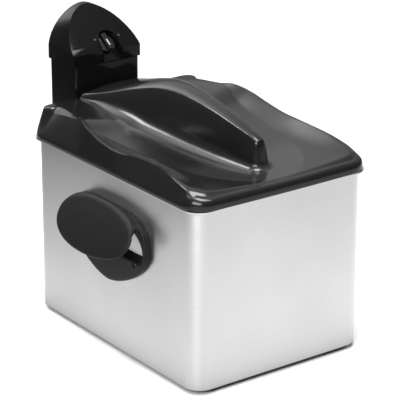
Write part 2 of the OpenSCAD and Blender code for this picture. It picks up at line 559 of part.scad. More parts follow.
housing_shell();
base_tray();
rubber_feet();
base_screws();
heat_shield();
side_handle_left();
side_handle_right();
handle_clamp_plates();
handle_screws();
head_guide_bracket();
guide_screws();
oil_container();
head_casing();
head_cover();
rear_panel();
rear_panel_screws();
element_bracket();
heating_element();
element_clips();
sensor_bulbs();
thermostat_body();
safety_cutout();
micro_switch();
terminal_block();
pilot_lamps();
knob_bezel();
cord_gland();
control_knob();
knob_pointer();
thermostat_shaft();
reset_button();
lid_shell();
lid_inner_panel();
lid_seal();
grease_filter();
odour_filter();
filter_grille();
lid_screws();
basket_floor();
basket_end(-1);  // basket_front
basket_end(1);  // basket_back
basket_side(-1);  // basket_left
basket_side(1);  // basket_right
basket_corners();
basket_rim();
basket_bracket();
handle_pin();
basket_handle();
handle_grip();
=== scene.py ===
import bpy
import bmesh
import json
import math
import numpy as np
from mathutils import Matrix, Vector


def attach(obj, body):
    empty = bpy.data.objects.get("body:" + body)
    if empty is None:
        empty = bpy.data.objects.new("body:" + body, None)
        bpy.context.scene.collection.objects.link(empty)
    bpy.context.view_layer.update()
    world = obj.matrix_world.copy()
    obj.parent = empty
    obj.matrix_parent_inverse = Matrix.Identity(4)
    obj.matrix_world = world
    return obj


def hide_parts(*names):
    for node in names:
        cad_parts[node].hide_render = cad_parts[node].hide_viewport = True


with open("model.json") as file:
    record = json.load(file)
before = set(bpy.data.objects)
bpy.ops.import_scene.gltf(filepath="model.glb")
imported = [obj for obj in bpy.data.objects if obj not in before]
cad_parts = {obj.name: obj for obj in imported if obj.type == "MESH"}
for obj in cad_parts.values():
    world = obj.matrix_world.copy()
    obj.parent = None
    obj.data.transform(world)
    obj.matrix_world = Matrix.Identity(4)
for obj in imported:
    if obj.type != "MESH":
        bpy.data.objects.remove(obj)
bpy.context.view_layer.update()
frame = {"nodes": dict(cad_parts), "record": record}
NODES = frame["nodes"]
scene = bpy.context.scene
MM = 0.001
YC = -34.0

# ------------------------------------------------------------------ camera
# Fitted to the photograph's edges: focal length in pixels of a 400-pixel frame.
F_PX, PITCH, AZ, TX, TY, DIST, ROLL = 2113.683, 20.836, -36.541, 4.074, 136.032, 2396.129, -0.161
SCALE = 1.03
_a, _e, _r = math.radians(AZ), math.radians(PITCH), math.radians(ROLL)
back = Vector((math.sin(_a) * math.cos(_e), -math.cos(_a) * math.cos(_e), math.sin(_e)))
right = Vector((math.cos(_a), math.sin(_a), 0.0))
up = back.cross(right)
C = (right * TX + up * TY + back * DIST) * SCALE + Vector((0, YC, 5.0))
rx = right * math.cos(_r) - up * math.sin(_r)
ux = right * math.sin(_r) + up * math.cos(_r)
cam_data = bpy.data.cameras.new("camera")
cam_data.sensor_width = 36.0
cam_data.lens = F_PX / 400.0 * 36.0
cam_data.clip_end = 50.0
cam = bpy.data.objects.new("camera", cam_data)
scene.collection.objects.link(cam)
cam.matrix_world = Matrix((
    (rx.x, ux.x, back.x, C.x * MM),
    (rx.y, ux.y, back.y, C.y * MM),
    (rx.z, ux.z, back.z, C.z * MM),
    (0, 0, 0, 1)))
scene.camera = cam


# ------------------------------------------------------------------ helpers
def new_obj(name, verts, faces, mat=None, smooth=True, scale=MM):
    me = bpy.data.meshes.new(name)
    me.from_pydata([tuple(float(c) * scale for c in v) for v in verts], [], [tuple(int(i) for i in f) for f in faces])
    me.validate()
    me.update()
    if smooth:
        me.polygons.foreach_set("use_smooth", [True] * len(me.polygons))
    ob = bpy.data.objects.new(name, me)
    scene.collection.objects.link(ob)
    if mat:
        me.materials.append(mat)
    return ob


def from_bm(name, bm, mat=None, smooth=True):
    me = bpy.data.meshes.new(name)
    bm.to_mesh(me)
    bm.free()
    if smooth:
        me.polygons.foreach_set("use_smooth", [True] * len(me.polygons))
    ob = bpy.data.objects.new(name, me)
    scene.collection.objects.link(ob)
    if mat:
        me.materials.append(mat)
    return ob


def apply_mods(ob):
    dg = bpy.context.evaluated_depsgraph_get()
    dg.update()
    ev = ob.evaluated_get(dg)
    me = bpy.data.meshes.new_from_object(ev, depsgraph=dg)
    old = ob.data
    ob.modifiers.clear()
    ob.data = me
    bpy.data.meshes.remove(old)
    return ob


def sharp_by_angle(ob, deg=32):
    me = ob.data
    bm = bmesh.new()
    bm.from_mesh(me)
    lim = math.radians(deg)
    for e in bm.edges:
        if len(e.link_faces) == 2:
            e.smooth = e.calc_face_angle(0.0) < lim
    for f in bm.faces:
        f.smooth = True
    bm.to_mesh(me)
    bm.free()


# ------------------------------------------------------------------ materials
def make_mat(name, color, rough, metallic=0.0, ior=1.5, coat=0.0, coat_rough=0.05, aniso=0.0, arot=0.0,
             streak=None, grain=None, bump=0.0, var=0.0, rvar=0.0, alpha=1.0, spec=0.5, trans=0.0,
             tangent=False, bump_dist=0.0002):
    m = bpy.data.materials.new(name)
    m.use_nodes = True
    nt = m.node_tree
    for n in list(nt.nodes):
        nt.nodes.remove(n)
    out = nt.nodes.new("ShaderNodeOutputMaterial")
    b = nt.nodes.new("ShaderNodeBsdfPrincipled")
    nt.links.new(b.outputs[0], out.inputs[0])
    b.inputs["Base Color"].default_value = (*color, 1)
    b.inputs["Roughness"].default_value = rough
    b.inputs["Metallic"].default_value = metallic
    b.inputs["IOR"].default_value = ior
    b.inputs["Specular IOR Level"].default_value = spec
    b.inputs["Coat Weight"].default_value = coat
    b.inputs["Coat Roughness"].default_value = coat_rough
    b.inputs["Anisotropic"].default_value = aniso
    b.inputs["Anisotropic Rotation"].default_value = arot
    b.inputs["Transmission Weight"].default_value = trans
    b.inputs["Alpha"].default_value = alpha
    tc = nt.nodes.new("ShaderNodeTexCoord")
    mp = nt.nodes.new("ShaderNodeMapping")
    nt.links.new(tc.outputs["Object"], mp.inputs["Vector"])
    mp.inputs["Scale"].default_value = streak or (grain or 400.0,) * 3
    nz = nt.nodes.new("ShaderNodeTexNoise")
    nz.inputs["Scale"].default_value = 1.0
    nz.inputs["Detail"].default_value = 3.0
    nt.links.new(mp.outputs[0], nz.inputs["Vector"])
    # slow, large variation
    nz2 = nt.nodes.new("ShaderNodeTexNoise")
    nz2.inputs["Scale"].default_value = 14.0
    nz2.inputs["Detail"].default_value = 2.0
    nt.links.new(tc.outputs["Object"], nz2.inputs["Vector"])
    if var > 0:
        mr = nt.nodes.new("ShaderNodeMapRange")
        mr.inputs["From Min"].default_value = 0.25
        mr.inputs["From Max"].default_value = 0.75
        mr.inputs["To Min"].default_value = 1.0 - var
        mr.inputs["To Max"].default_value = 1.0 + var
        nt.links.new(nz.outputs["Fac"], mr.inputs["Value"])
        mx = nt.nodes.new("ShaderNodeVectorMath")
        mx.operation = "SCALE"
        mx.inputs[0].default_value = color
        nt.links.new(mr.outputs[0], mx.inputs["Scale"])
        nt.links.new(mx.outputs[0], b.inputs["Base Color"])
    if rvar > 0:
        ad = nt.nodes.new("ShaderNodeMath")
        ad.operation = "ADD"
        nt.links.new(nz.outputs["Fac"], ad.inputs[0])
        nt.links.new(nz2.outputs["Fac"], ad.inputs[1])
        mr2 = nt.nodes.new("ShaderNodeMapRange")
        mr2.inputs["From Min"].default_value = 0.6
        mr2.inputs["From Max"].default_value = 1.4
        mr2.inputs["To Min"].default_value = max(rough - rvar, 0.02)
        mr2.inputs["To Max"].default_value = rough + rvar
        nt.links.new(ad.outputs[0], mr2.inputs["Value"])
        nt.links.new(mr2.outputs[0], b.inputs["Roughness"])
    if bump > 0:
        bp = nt.nodes.new("ShaderNodeBump")
        bp.inputs["Strength"].default_value = bump
        bp.inputs["Distance"].default_value = bump_dist
        nt.links.new(nz.outputs["Fac"], bp.inputs["Height"])
        nt.links.new(bp.outputs[0], b.inputs["Normal"])
    if tangent:
        tg = nt.nodes.new("ShaderNodeTangent")
        tg.direction_type = "RADIAL"
        tg.axis = "Z"
        nt.links.new(tg.outputs[0], b.inputs["Tangent"])
    return m


M = {}
M["housing_steel"] = make_mat("brushed_steel", (0.80, 0.80, 0.805), 0.32, 1.0, aniso=0.7, arot=0.25, tangent=True,
                              streak=(7.0, 7.0, 700.0), bump=0.08, var=0.035, rvar=0.05, bump_dist=0.0001)
M["lid_gloss"] = make_mat("lid_plastic", (0.011, 0.011, 0.0115), 0.19, ior=1.5, grain=1300.0, bump=0.02, var=0.10, rvar=0.02, bump_dist=0.0001)
M["head_gloss"] = make_mat("head_plastic", (0.004, 0.004, 0.0045), 0.09, ior=1.5, grain=900.0, bump=0.03, var=0.10, rvar=0.03, bump_dist=0.0001, spec=0.20)
M["handle_plastic"] = make_mat("handle_plastic", (0.008, 0.008, 0.0084), 0.48, ior=1.48, grain=1700.0, bump=0.25, var=0.12, rvar=0.05, bump_dist=0.0001, spec=0.22)
M["black_plastic"] = make_mat("matte_black_plastic", (0.012, 0.012, 0.012), 0.5, grain=1500.0, bump=0.3, var=0.12, rvar=0.05)
M["foot_rubber"] = make_mat("rubber", (0.015, 0.015, 0.015), 0.7, grain=1200.0, bump=0.25, var=0.15, rvar=0.08)
M["screw_steel"] = make_mat("zinc_screw", (0.70, 0.70, 0.71), 0.25, 1.0, grain=900.0, bump=0.1, var=0.05, rvar=0.06)
M["liner_steel"] = make_mat("sheet_aluminium", (0.68, 0.68, 0.68), 0.35, 1.0, streak=(12.0, 700.0, 700.0), bump=0.12, var=0.05, rvar=0.07)
M["container_steel"] = make_mat("polished_stainless", (0.74, 0.74, 0.74), 0.20, 1.0, streak=(10.0, 10.0, 500.0), bump=0.06, var=0.04, rvar=0.05)
M["element_steel"] = make_mat("element_tube", (0.32, 0.31, 0.30), 0.38, 1.0, grain=600.0, bump=0.15, var=0.12, rvar=0.1)
M["bulb_copper"] = make_mat("copper_bulb", (0.68, 0.38, 0.25), 0.3, 1.0, grain=700.0, bump=0.1, var=0.08, rvar=0.08)
M["thermostat_metal"] = make_mat("thermostat_brass", (0.62, 0.53, 0.36), 0.35, 1.0, grain=700.0, bump=0.1, var=0.06, rvar=0.08)
M["terminal_ceramic"] = make_mat("ceramic_block", (0.82, 0.80, 0.75), 0.55, grain=900.0, bump=0.2, var=0.05, rvar=0.08)
M["lamp_lens"] = make_mat("lamp_lens", (0.05, 0.05, 0.052), 0.10, grain=600.0, bump=0.03, var=0.04, rvar=0.02)
M["knob_plastic"] = make_mat("knob_plastic", (0.005, 0.005, 0.005), 0.30, grain=1300.0, bump=0.12, var=0.12, rvar=0.04)
M["pointer_white"] = make_mat("white_inlay", (0.42, 0.42, 0.42), 0.45, grain=1300.0, bump=0.08, var=0.03, rvar=0.04)
M["reset_red"] = make_mat("reset_button", (0.45, 0.03, 0.025), 0.4, grain=1200.0, bump=0.1, var=0.06, rvar=0.04)
M["seal_rubber"] = make_mat("silicone_seal", (0.05, 0.05, 0.05), 0.55, grain=900.0, bump=0.2, var=0.1, rvar=0.06)
M["filter_fleece"] = make_mat("filter_fleece", (0.78, 0.78, 0.74), 0.9, grain=1500.0, bump=0.9, var=0.12, rvar=0.05, bump_dist=0.001)
M["filter_carbon"] = make_mat("filter_carbon", (0.03, 0.03, 0.03), 0.9, grain=1100.0, bump=0.9, var=0.3, rvar=0.05, bump_dist=0.001)
M["basket_wire"] = make_mat("plated_wire", (0.74, 0.74, 0.74), 0.2, 1.0, grain=500.0, bump=0.08, var=0.04, rvar=0.06)
slot_of = {s["node"]: s["material_slot"] for s in frame["record"]["subparts"]}
for n, ob in NODES.items():
    ob.data.materials.clear()
    ob.data.materials.append(M[slot_of[n]])


def finish_piece(ob, body, slot, *replaced):
    if not ob.data.materials:
        ob.data.materials.append(M[slot])
    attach(ob, body)
    if replaced:
        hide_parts(*replaced)
    return ob


# ------------------------------------------------------------------ lid
LHW, LHL, LR, LZ0, LT = 122.4, 163.2, 28.0, 214.4, 2.4
# the lid's broad shape along Y: floor edge half width and height, crest half width and height
WING = np.array([
    [-205, 84, 227.4, 110, 227.6],
    [-180, 83, 228.2, 112.5, 231.5],
    [-160, 82, 229.0, 113.5, 236],
    [-135, 81, 229.8, 111.5, 240.8],
    [-105, 80, 230.6, 110, 243.4],
    [-75, 82, 231.6, 112, 243.2],
    [-45, 88, 233.4, 117, 241.6],
    [-15, 92, 236.2, 118, 244.8],
    [15, 97, 241.0, 115.4, 251.6],
    [40, 102, 251.0, 109.5, 255.4],
    [60, 98, 251.6, 106.5, 252],
    [90, 86, 250, 104, 246.2],
    [112, 76, 247.5, 101.4, 242],
    [135, 68, 244, 98, 237.6]], float)
# the ridge along Y: crown height, half width of its top, foot fillet, floor height, flank slope, edge rounding
RIDGE = np.array([
    [-205, 255.0, 6.0, 8, 227.2, 6.0, 5],
    [-162, 259.0, 6.4, 8, 227.2, 6.0, 5],
    [-150, 261.8, 7.2, 9, 227.2, 6.0, 9],
    [-135, 265.8, 8.6, 12, 227.4, 6.0, 13],
    [-105, 273.4, 11.8, 17, 228.0, 6.0, 17],
    [-75, 279.4, 14.0, 20, 229.0, 5.6, 19],
    [-45, 283.8, 16.6, 21, 230.5, 5.0, 20],
    [-15, 286.4, 19.6, 22, 232.8, 4.4, 20],
    [15, 285.5, 24.5, 23, 235.0, 3.8, 17],
    [40, 280.5, 30.5, 23, 237.5, 3.4, 18],
    [60, 275.0, 36.0, 22, 240.0, 3.2, 17],
    [90, 266.0, 44.0, 16, 243.5, 3.0, 16],
    [112, 260.0, 49.5, 10, 244.3, 3.0, 15],
    [135, 255.0, 52.0, 6, 243.0, 3.0, 15]], float)
NOSE, NOSE_R = -151.5, 5.0


def rail(y, c, R=WING):
    n = len(R)
    y = np.asarray(y, float)
    i = np.clip(np.searchsorted(R[:, 0], y, side="right") - 1, 0, n - 2)
    a, b = R[i], R[i + 1]
    p, q = R[np.maximum(i - 1, 0)], R[np.minimum(i + 2, n - 1)]
    h = b[..., 0] - a[..., 0]
    t = (y - a[..., 0]) / h
    ma = np.where(i > 0, (b[..., c] - p[..., c]) / np.where(i > 0, b[..., 0] - p[..., 0], 1) * h, b[..., c] - a[..., c])
    mb = np.where(i < n - 2, (q[..., c] - a[..., c]) / np.where(i < n - 2, q[..., 0] - a[..., 0], 1) * h, b[..., c] - a[..., c])
    return ((2 * t**3 - 3 * t**2 + 1) * a[..., c] + (t**3 - 2 * t**2 + t) * ma
            + (-2 * t**3 + 3 * t**2) * b[..., c] + (t**3 - t**2) * mb)


def ease(t):
    k = np.clip(t, 0, 1)
    return k * k * (3 - 2 * k)


def smin(a, b, k):
    h = np.maximum(k - np.abs(a - b), 0) / k
    return np.minimum(a, b) - h * h * k / 4


def island(u, y):
    """distance outside the oval floor round the ridge's nose, in mm (negative inside)"""
    wi = rail(y, 1)
    oval = np.hypot(u / 82.0, np.minimum(y + 75.0, 0) / 117.0)
    return np.where(y < -75, (oval - 1) * 82.0, u - wi)


def lid_floor(x, y):
    u = np.abs(x)
    wi, zi, xc, zc = rail(y, 1), rail(y, 2), rail(y, 3), rail(y, 4)
    zf = rail(y, 4, RIDGE)
    e = np.where(y < -75, np.hypot(u / 82.0, np.minimum(y + 75.0, 0) / 117.0), u / wi)
    inner = zf + (zi - zf) * np.minimum(e, 1) ** 1.6
    out = np.maximum(island(u, y), 0)
    tc = np.clip((u - wi) / (xc - wi), 0, 1)
    front = ease((-y - 50) / 45.0)
    # in front the oval floor ends in a faint break of slope
    lin = 0.075 * out * front
    rest = np.maximum(zc - zi - 0.075 * (xc - wi) * front, 0)
    tf = tc ** 1.8 * front + tc ** 1.1 * (1 - front)
    return inner + lin + rest * tf


def drop(wt):
    """how far the ridge's top falls from its middle to its edge"""
    return np.clip(0.43 * wt, 3.0, 8.0)


def lid_body(x, y):
    u = np.abs(x)
    ye = np.maximum(y, NOSE)
    zr, wt, R = rail(ye, 1, RIDGE), rail(ye, 2, RIDGE), rail(ye, 3, RIDGE)
    zf, s, kt = rail(ye, 4, RIDGE), rail(ye, 5, RIDGE), rail(ye, 6, RIDGE)
    qx, qy = u - (wt - NOSE_R), (NOSE + NOSE_R) - y
    d = np.hypot(np.maximum(qx, 0), np.maximum(qy, 0)) + np.minimum(np.maximum(qx, qy), 0) - NOSE_R
    dr = drop(wt)
    crown = zr - dr * np.minimum(u / wt, 1.5) ** 2.5 - 1.6 * np.clip((-y - 135) / 16.0, 0, 2) ** 2
    edge = zr - dr
    flank = edge - s * d
    floor = lid_floor(x, y)
    g = (edge - floor - R) / s
    q = np.clip((g + R - d) / R, 0, 1)
    fillet = floor + R * (1 - np.sqrt(np.maximum(1 - q * q, 0)))
    wall = np.where(d < g, flank, np.maximum(flank, fillet))
    return np.maximum(smin(crown, wall, kt), floor)


def lid_cap(x, y):
    u = np.abs(x)
    v = y - YC
    qx, qy = u - (LHW - LR), np.abs(v) - (LHL - LR)
    l = np.hypot(np.maximum(qx, 0), np.maximum(qy, 0))
    d = np.maximum(LR - l - np.minimum(np.maximum(qx, qy), 0), 0)
    wx = np.where((qx > 0) & (qy > 0), (qx / np.maximum(l, 1e-6)) ** 2, np.where(qx > qy, 1.0, 0.0))
    xc, zc = rail(y, 3), rail(y, 4)
    dcs = np.maximum(LHW - xc, 3.4)
    front = v < 0
    dc = wx * dcs + (1 - wx) * np.where(front, 8, 5)
    zt = wx * zc + (1 - wx) * np.where(front, 227.4, 252)
    rnd = np.where(front, np.maximum(1 - wx, np.clip((-y - 165) / 20, 0, 1)), (1 - wx) * 0.9)
    t = np.minimum(d / dc, 1)
    q = t * (1 - rnd) + rnd * np.sqrt(np.maximum(1 - (1 - t) ** 2, 0))
    e = np.maximum(d - dc, 0)
    return 219 + (zt - 219) * q + 0.45 * e + 0.06 * e * e


def lid_top(x, y):
    return smin(lid_body(x, y), lid_cap(x, y), 3.6)


def lid_w(y, g):
    b, r = LHL - g, LR - g
    e = np.minimum(np.abs(y - YC), b) - (b - r)
    return LHW - g - r + np.where(e > 0, np.sqrt(np.maximum(r * r - e * e, 0)), r)


def bow(x, y):
    return y - 2 * (1 - (x / LHW) ** 2) * np.clip((-y - 60) / 137.2, 0, 1) ** 2


def lid_columns(y):
    """half a row of columns as shares of the half width, packed along the edges of the shape"""
    ye = max(float(y), NOSE)
    zr, wt, R, zf, s = [float(rail(np.array(ye), c, RIDGE)) for c in (1, 2, 3, 4, 5)]
    g = (zr - float(drop(wt)) - zf - R) / s
    w = float(lid_w(np.array(float(y)), 0))
    marks = [0.0, wt - 4.5, wt + 3.2, wt + g + 1.0, wt + g + R, float(rail(np.array(float(y)), 1)), float(rail(np.array(float(y)), 3)), w]
    marks[5] = max(min(marks[5], w - 16), marks[4] + 4)
    marks[6] = max(min(marks[6], w - 8), marks[5] + 4)
    counts = [6, 18, 10, 18, 16, 16, 16]
    out = []
    for i, (a, b, n) in enumerate(zip(marks[:-1], marks[1:], counts)):
        t = np.linspace(0, 1, n, endpoint=False)
        out += list(a + (b - a) * (1 - np.cos(t * math.pi / 2) if i == 3 else t))
    out.append(marks[-1])
    return np.array(out) / w


def build_lid():
    arc = LR * (1 - np.cos(np.radians(np.arange(0, 90, 1.5))))
    mid = np.concatenate([np.arange(YC - LHL + LR, -140, 0.6), np.arange(-140, YC + LHL - LR + 0.1, 1.5)])
    rows = np.concatenate([YC - LHL + arc, mid, (YC + LHL - arc)[::-1]])
    half = np.array([lid_columns(y) for y in rows])
    cols = np.concatenate([-half[:, :0:-1], half], 1)
    Y = np.repeat(rows[:, None], cols.shape[1], 1)
    X = cols * lid_w(Y, 0)
    Z = np.maximum(lid_top(X, Y), 217.5)
    Yi = YC + (Y - YC) * (LHL - LT) / LHL
    Xi = cols * lid_w(Yi, LT)
    k = 2.0
    lo = np.minimum.reduce([lid_top(Xi, Yi), lid_top(Xi + k, Yi), lid_top(Xi - k, Yi),
                            lid_top(Xi, np.minimum(Yi + k, YC + LHL)), lid_top(Xi, np.maximum(Yi - k, YC - LHL))]) - LT
    Zi = np.maximum(lo, 216.6)
    n, m = X.shape
    P = np.stack([X, bow(X, Y), Z], 2).reshape(-1, 3)
    Q = np.stack([Xi, bow(Xi, Yi), Zi], 2).reshape(-1, 3)
    loop = ([j for j in range(m)] + [i * m + m - 1 for i in range(1, n)]
            + [(n - 1) * m + j for j in range(m - 2, -1, -1)] + [i * m for i in range(n - 2, 0, -1)])
    verts = [P, Q]
    base = 2 * n * m
    faces = []
    idx = np.arange(n * m).reshape(n, m)
    a, b, c, d = idx[:-1, :-1].ravel(), idx[:-1, 1:].ravel(), idx[1:, 1:].ravel(), idx[1:, :-1].ravel()
    faces += list(zip(a, b, c, d))
    o = n * m
    faces += list(zip(a + o, d + o, c + o, b + o))
    # skirt: outer rings down, across the lower edge and up inside
    Lp = P[loop]
    Lq = Q[loop]
    ctr = np.array([0, YC])
    rings = []
    for z, s in ((217.0, 0.0), (215.3, 0.0), (214.7, 0.12), (214.4, 0.35)):
        r = Lp.copy()
        r[:, 2] = np.minimum(r[:, 2], z)
        r[:, :2] = Lp[:, :2] + (Lq[:, :2] - Lp[:, :2]) * s
        rings.append(r)
    for z, s in ((214.4, 0.8), (215.2, 1.0)):
        r = Lq.copy()
        r[:, 2] = z
        r[:, :2] = Lp[:, :2] + (Lq[:, :2] - Lp[:, :2]) * s
        rings.append(r)
    L = len(loop)
    for r in rings:
        verts.append(r)
    prev = np.array(loop)
    for k2 in range(len(rings)):
        cur = base + k2 * L + np.arange(L)
        for i in range(L):
            j = (i + 1) % L
            faces.append((prev[i], cur[i], cur[j], prev[j]))
        prev = cur
    last = np.array(loop) + o
    for i in range(L):
        j = (i + 1) % L
        faces.append((prev[i], last[i], last[j], prev[j]))
    ob = new_obj("lid_top", np.concatenate(verts), faces, M["lid_gloss"])
    # notch over the element bracket
    bm = bmesh.new()
    bmesh.ops.create_cube(bm, size=1.0)
    for v in bm.verts:
        v.co = Vector((v.co.x * 72, 120 + v.co.y * 40, 218 + v.co.z * 24)) * MM
    cut = from_bm("cut", bm, smooth=False)
    mod = ob.modifiers.new("notch", "BOOLEAN")
    mod.object = cut
    mod.operation = "DIFFERENCE"
    mod.solver = "EXACT"
    apply_mods(ob)
    bpy.data.objects.remove(cut)
    sharp_by_angle(ob, 55)
    return ob


lid = build_lid()
finish_piece(lid, "lid", "lid_gloss", "lid_shell")


# ------------------------------------------------------------------ side handles
GA, GZ, LEAN = 73.6, 137.0, math.radians(29)
PD, PZ, PA, PH = 26.8, 156.2, 70.2, 31.4
HX = 117.0


def tube_surface(rings, close_ends=True):
    """rings: list of (n,3) closed loops -> verts, faces of a closed skin"""
    n = len(rings[0])
    V = np.concatenate(rings)
    F = []
    for k in range(len(rings) - 1):
        for i in range(n):
            j = (i + 1) % n
            F.append((k * n + i, k * n + j, (k + 1) * n + j, (k + 1) * n + i))
    if close_ends:
        F.append(tuple(range(n))[::-1])
        F.append(tuple((len(rings) - 1) * n + i for i in range(n)))
    return V, F


def build_handle(side):
    n = 144
    th = np.linspace(0, 2 * np.pi, n, endpoint=False)
    parts = []
    # ring and lower plate
    def spow(v, e):
        return np.sign(v) * np.abs(v) ** (2 / e)

    def outline(t, g):
        up = np.sin(t) > 0
        e = np.where(up, 3.5, 1.62)
        return np.stack([(GA - g) * spow(np.cos(t), e), GZ + (np.where(up, 43.0, 49.3) - g) * spow(np.sin(t), e)], 1)

    outer = outline(th, 0.0)
    cy, cz = 0.0, 150.0
    ang = np.arctan2(outer[:, 1] - cz, outer[:, 0] - cy)

    def opening(bottom):
        pts = []
        for a in ang:
            dy, dz = math.cos(a), math.sin(a)
            lo, hi = 0.0, 90.0
            for _ in range(36):
                m = (lo + hi) / 2
                y, z = cy + dy * m, cz + dz * m
                f = ((abs(y) / 70.0) ** 2.2 + (max(z - GZ, 0) / 34.0) ** 2.2) ** (1 / 2.2) - 1
                g = (bottom - z) / 14.0
                inside = (max(f, -0.12) + 0.12) ** 5 + (max(g, -0.12) + 0.12) ** 5 < 0.12 ** 5
                lo, hi = (m, hi) if inside else (lo, m)
            pts.append((cy + dy * lo, cz + dz * lo))
        return np.array(pts)

    # the plate's upper side is a scoop: higher on the wall than at its front edge
    hole_w, hole_f = opening(134.0), opening(126.6)
    rings = []
    dvec = hole_f - outer
    ln = np.linalg.norm(dvec, axis=1, keepdims=True)
    for off, d in ((0.0, 0.0), (0.0, 4.0), (0.7, 6.6), (2.4, 7.8), (5.0, 8.0)):
        p = outer + dvec / ln * np.minimum(off, ln * 0.35)
        rings.append(np.stack([np.full(n, d), p[:, 0], p[:, 1]], 1))
    for fr in (0.45, 0.7, 0.9):
        p = outer + dvec * fr
        rings.append(np.stack([np.full(n, 8.0), p[:, 0], p[:, 1]], 1))
    for d in (7.4, 5.5, 3.0, 0.0):
        p = hole_w + (hole_f - hole_w) * (d / 8.0) ** 0.8
        rings.append(np.stack([np.full(n, d), p[:, 0], p[:, 1]], 1))
    V, F = tube_surface(rings, False)
    k = len(rings)
    for i in range(n):
        j = (i + 1) % n
        F.append(((k - 1) * n + i, (k - 1) * n + j, j, i))
    parts.append((V, F))
    # leaning grip plate, slightly domed, with a full round edge
    rings = []
    dome = 1.8
    for r, h in ((0.02, -2.4), (0.5, -2.3), (0.85, -2.2), (0.95, -2.0), (0.985, -1.2), (1.0, 0.0), (0.985, 1.3), (0.95, 2.1), (0.85, 2.4), (0.5, 2.6), (0.02, 2.7)):
        e = 2.19
        cy2 = np.sign(np.cos(th)) * np.abs(np.cos(th)) ** (2 / e)
        cz2 = np.sign(np.sin(th)) * np.abs(np.sin(th)) ** (2 / e)
        yy = PA * r * cy2
        ss = PH * r * cz2
        hh = h + dome * (1 - r * r) * (1 if h > 0 else 0.7) - 0.0014 * (yy ** 2) * 0.5
        x = PD - ss * math.sin(LEAN) + hh * math.cos(LEAN)
        z = PZ + ss * math.cos(LEAN) + hh * math.sin(LEAN)
        rings.append(np.stack([x, yy, z], 1))
    parts.append(tube_surface(rings))
    # web: a band from the wall over the top to the plate's rim
    m = 72
    s_ = np.linspace(0, 1, 16)
    tt = np.radians(np.linspace(15, 165, m))
    tb = np.radians(np.linspace(44, 136, m))
    base = outline(tb, 1.2)
    e = 2.19
    cy2 = np.sign(np.cos(tt)) * np.abs(np.cos(tt)) ** (2 / e)
    cz2 = np.abs(np.sin(tt)) ** (2 / e)
    top, bot = [], []
    for s in s_:
        ss, yy = PH * 0.985 * cz2, PA * 0.985 * cy2
        hh = 1.3 - 0.0007 * yy ** 2
        px = PD - ss * math.sin(LEAN) + hh * math.cos(LEAN)
        pz = PZ + ss * math.cos(LEAN) + hh * math.sin(LEAN)
        bul = 3.4 * math.sin(math.pi * s)
        x = 3.0 + (px - 3.0) * s + bul * 0.5
        y = base[:, 0] + (yy - base[:, 0]) * s
        z = base[:, 1] + (pz - base[:, 1]) * s + bul * np.sin(tt)
        top.append(np.stack([x, y, z], 1))
        bot.append(np.stack([x - 1.2, y * 0.985, z - 4.4], 1))
    V = np.concatenate(top + bot)
    F = []
    r_ = len(s_)
    o = r_ * m
    for i in range(r_ - 1):
        for j in range(m - 1):
            a, b, c, d = i * m + j, i * m + j + 1, (i + 1) * m + j + 1, (i + 1) * m + j
            F += [(a, b, c, d), (o + a, o + d, o + c, o + b)]
    for j in range(m - 1):
        F += [(j, o + j, o + j + 1, j + 1)]
        q = (r_ - 1) * m + j
        F += [(q, q + 1, o + q + 1, o + q)]
    for i in range(r_ - 1):
        q = i * m
        F += [(q, q + m, o + q + m, o + q)]
        q = i * m + m - 1
        F += [(q, o + q, o + q + m, q + m)]
    parts.append((V, F))
    verts, faces = [], []
    off = 0
    for V, F in parts:
        verts.append(V)
        faces += [tuple(i + off for i in f) for f in F]
        off += len(V)
    V = np.concatenate(verts)
    V[:, 0] = (HX + V[:, 0])
    V[:, 1] += YC
    ob = new_obj("grip", V, faces, None)
    bm = bmesh.new()
    bm.from_mesh(ob.data)
    bmesh.ops.recalc_face_normals(bm, faces=bm.faces)
    bm.to_mesh(ob.data)
    bm.free()
    md = ob.modifiers.new("r", "REMESH")
    md.mode = "VOXEL"
    md.voxel_size = 0.0009
    md2 = ob.modifiers.new("s", "SMOOTH")
    md2.factor = 0.5
    md2.iterations = 8
    apply_mods(ob)
    # keep the back flat on the wall
    me = ob.data
    co = np.zeros(len(me.vertices) * 3, np.float32)
    me.vertices.foreach_get("co", co)
    co = co.reshape(-1, 3)
    co[:, 0] = np.maximum(co[:, 0], (HX + 0.02) * MM)
    if side < 0:
        co[:, 0] *= -1
    me.vertices.foreach_set("co", co.ravel())
    me.update()
    if side < 0:
        me.flip_normals()
    # screw recesses
    for y in (-54, 54):
        bm = bmesh.new()
        bmesh.ops.create_cone(bm, cap_ends=True, segments=48, radius1=3.25 * MM, radius2=3.25 * MM, depth=10 * MM)
        bmesh.ops.rotate(bm, verts=bm.verts, matrix=Matrix.Rotation(math.radians(90), 3, "Y"))
        bmesh.ops.translate(bm, verts=bm.verts, vec=Vector((side * (HX + 8.45), YC + y, 122.4)) * MM)
        cut = from_bm("cut", bm, smooth=False)
        mod = ob.modifiers.new("c", "BOOLEAN")
        mod.object = cut
        mod.operation = "DIFFERENCE"
        mod.solver = "EXACT"
        apply_mods(ob)
        bpy.data.objects.remove(cut)
    me = ob.data
    me.materials.clear()
    me.materials.append(M["handle_plastic"])
    sharp_by_angle(ob, 50)
    ob.name = "handle_left" if side < 0 else "handle_right"
    return ob


finish_piece(build_handle(-1), "housing", "handle_plastic", "side_handle_left")
finish_piece(build_handle(1), "housing", "handle_plastic", "side_handle_right")

